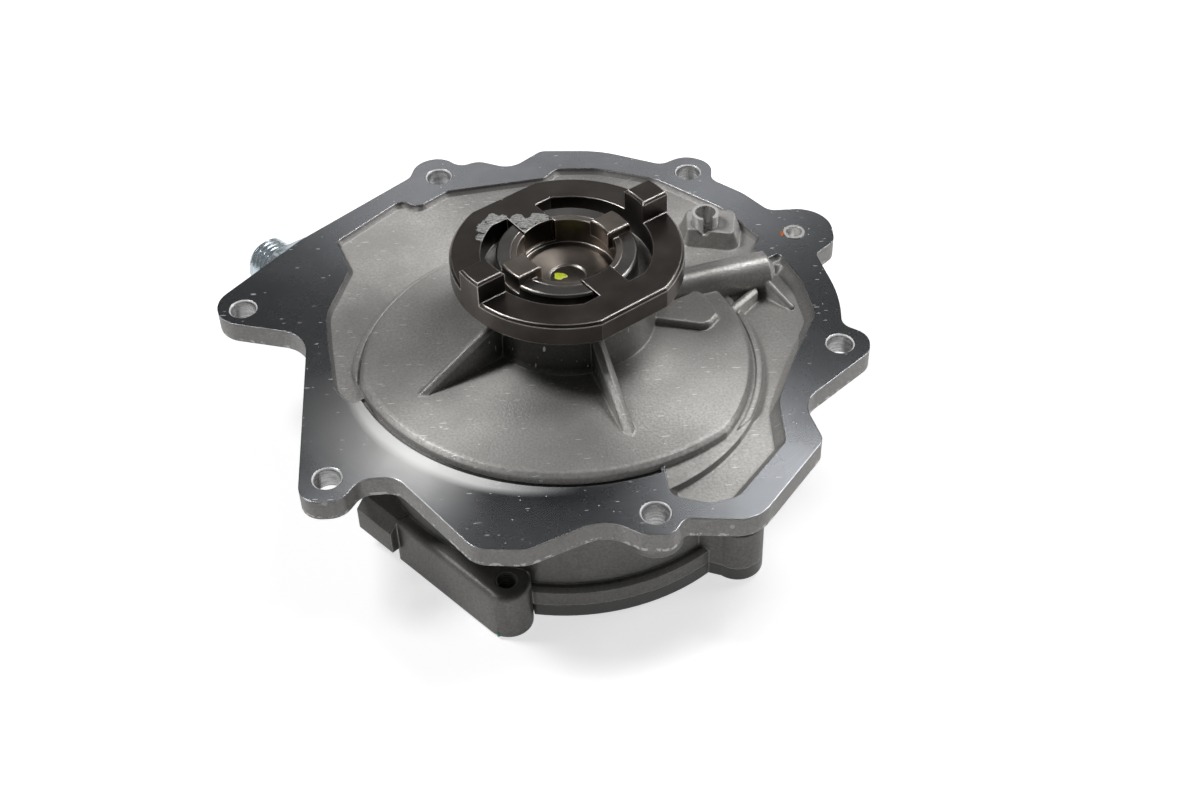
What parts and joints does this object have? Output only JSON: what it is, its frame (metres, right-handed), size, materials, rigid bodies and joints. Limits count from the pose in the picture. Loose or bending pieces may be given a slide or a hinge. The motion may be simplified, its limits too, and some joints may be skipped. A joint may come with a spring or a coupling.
{
  "type": "brake vacuum pump",
  "caption": "Camshaft-driven brake vacuum pump: cast flange housing with a round chamber, a sliding vane, a lugged coupling disc, a bronze drive cup and a threaded side port.",
  "frame": {"origin": "drive axis where it crosses the machined mounting face", "axes": "+Z along the drive axis towards the coupling and the engine; the pump stands on its rear cover, which is the lowest face; +Y is away from the camera of the picture and +X is to its right"},
  "size_m": [0.166, 0.151, 0.0669],
  "materials": {
    "cast_aluminium": "as cast, dull, with machined faces",
    "cast_cover": "as cast, dull",
    "black_rubber": "matt",
    "zinc_steel": "zinc plated",
    "zinc_fitting": "bright zinc plated",
    "seal_fibre": "matt",
    "brass_plate": "satin",
    "spring_steel": "satin, blued",
    "bright_steel": "ground",
    "dark_steel": "machined, oiled",
    "sintered_bronze": "sintered, oiled",
    "oiled_steel": "sintered, oil-dark with rubbed edges",
    "vane_polymer": "satin",
    "tip_polymer": "satin"
  },
  "bodies": {
    "pump_body": {"pump_housing": "cast_aluminium", "rear_cover": "cast_cover", "cover_seal": "black_rubber", "cover_screws": "zinc_steel", "boss_screw": "zinc_steel", "port_fitting": "zinc_fitting", "port_washer": "seal_fibre", "valve_seat_plate": "brass_plate", "umbrella_valve": "black_rubber", "outlet_reed": "spring_steel", "outlet_reed_stop": "spring_steel", "reed_screw": "zinc_steel", "spring_sleeve": "bright_steel", "locating_bush": "bright_steel"},
    "rotor_body": {"rotor": "dark_steel", "drive_insert": "sintered_bronze"},
    "coupling_body": {"coupling_disc": "oiled_steel"},
    "carrier_body": {"vane_core": "bright_steel"},
    "vane_body": {"vane": "vane_polymer", "vane_tip_a": "tip_polymer", "vane_tip_b": "tip_polymer"}
  },
  "joints": [
    {"name": "rotor_spin", "type": "hinge", "parent": "pump_body", "child": "rotor_body", "pos_m": [0, 0, 0], "axis": [0, 0, 1], "continuous": true},
    {"name": "carrier_spin", "type": "hinge", "parent": "pump_body", "child": "carrier_body", "pos_m": [-0.00054, -0.00773, 0], "axis": [0, 0, 1], "continuous": true},
    {"name": "vane_turn", "type": "hinge", "parent": "carrier_body", "child": "vane_body", "pos_m": [-0.00108, -0.01546, 0], "axis": [0, 0, 1], "continuous": true},
    {"name": "coupling_float", "type": "slide", "parent": "rotor_body", "child": "coupling_body", "axis": [-0.5878, 0.809, 0], "range_m": [-0.0005, 0.0005]}
  ],
  "couplings": [
    {"joint": "carrier_spin", "follows": "rotor_spin", "ratio": 2},
    {"joint": "vane_turn", "follows": "rotor_spin", "ratio": -1}
  ]
}
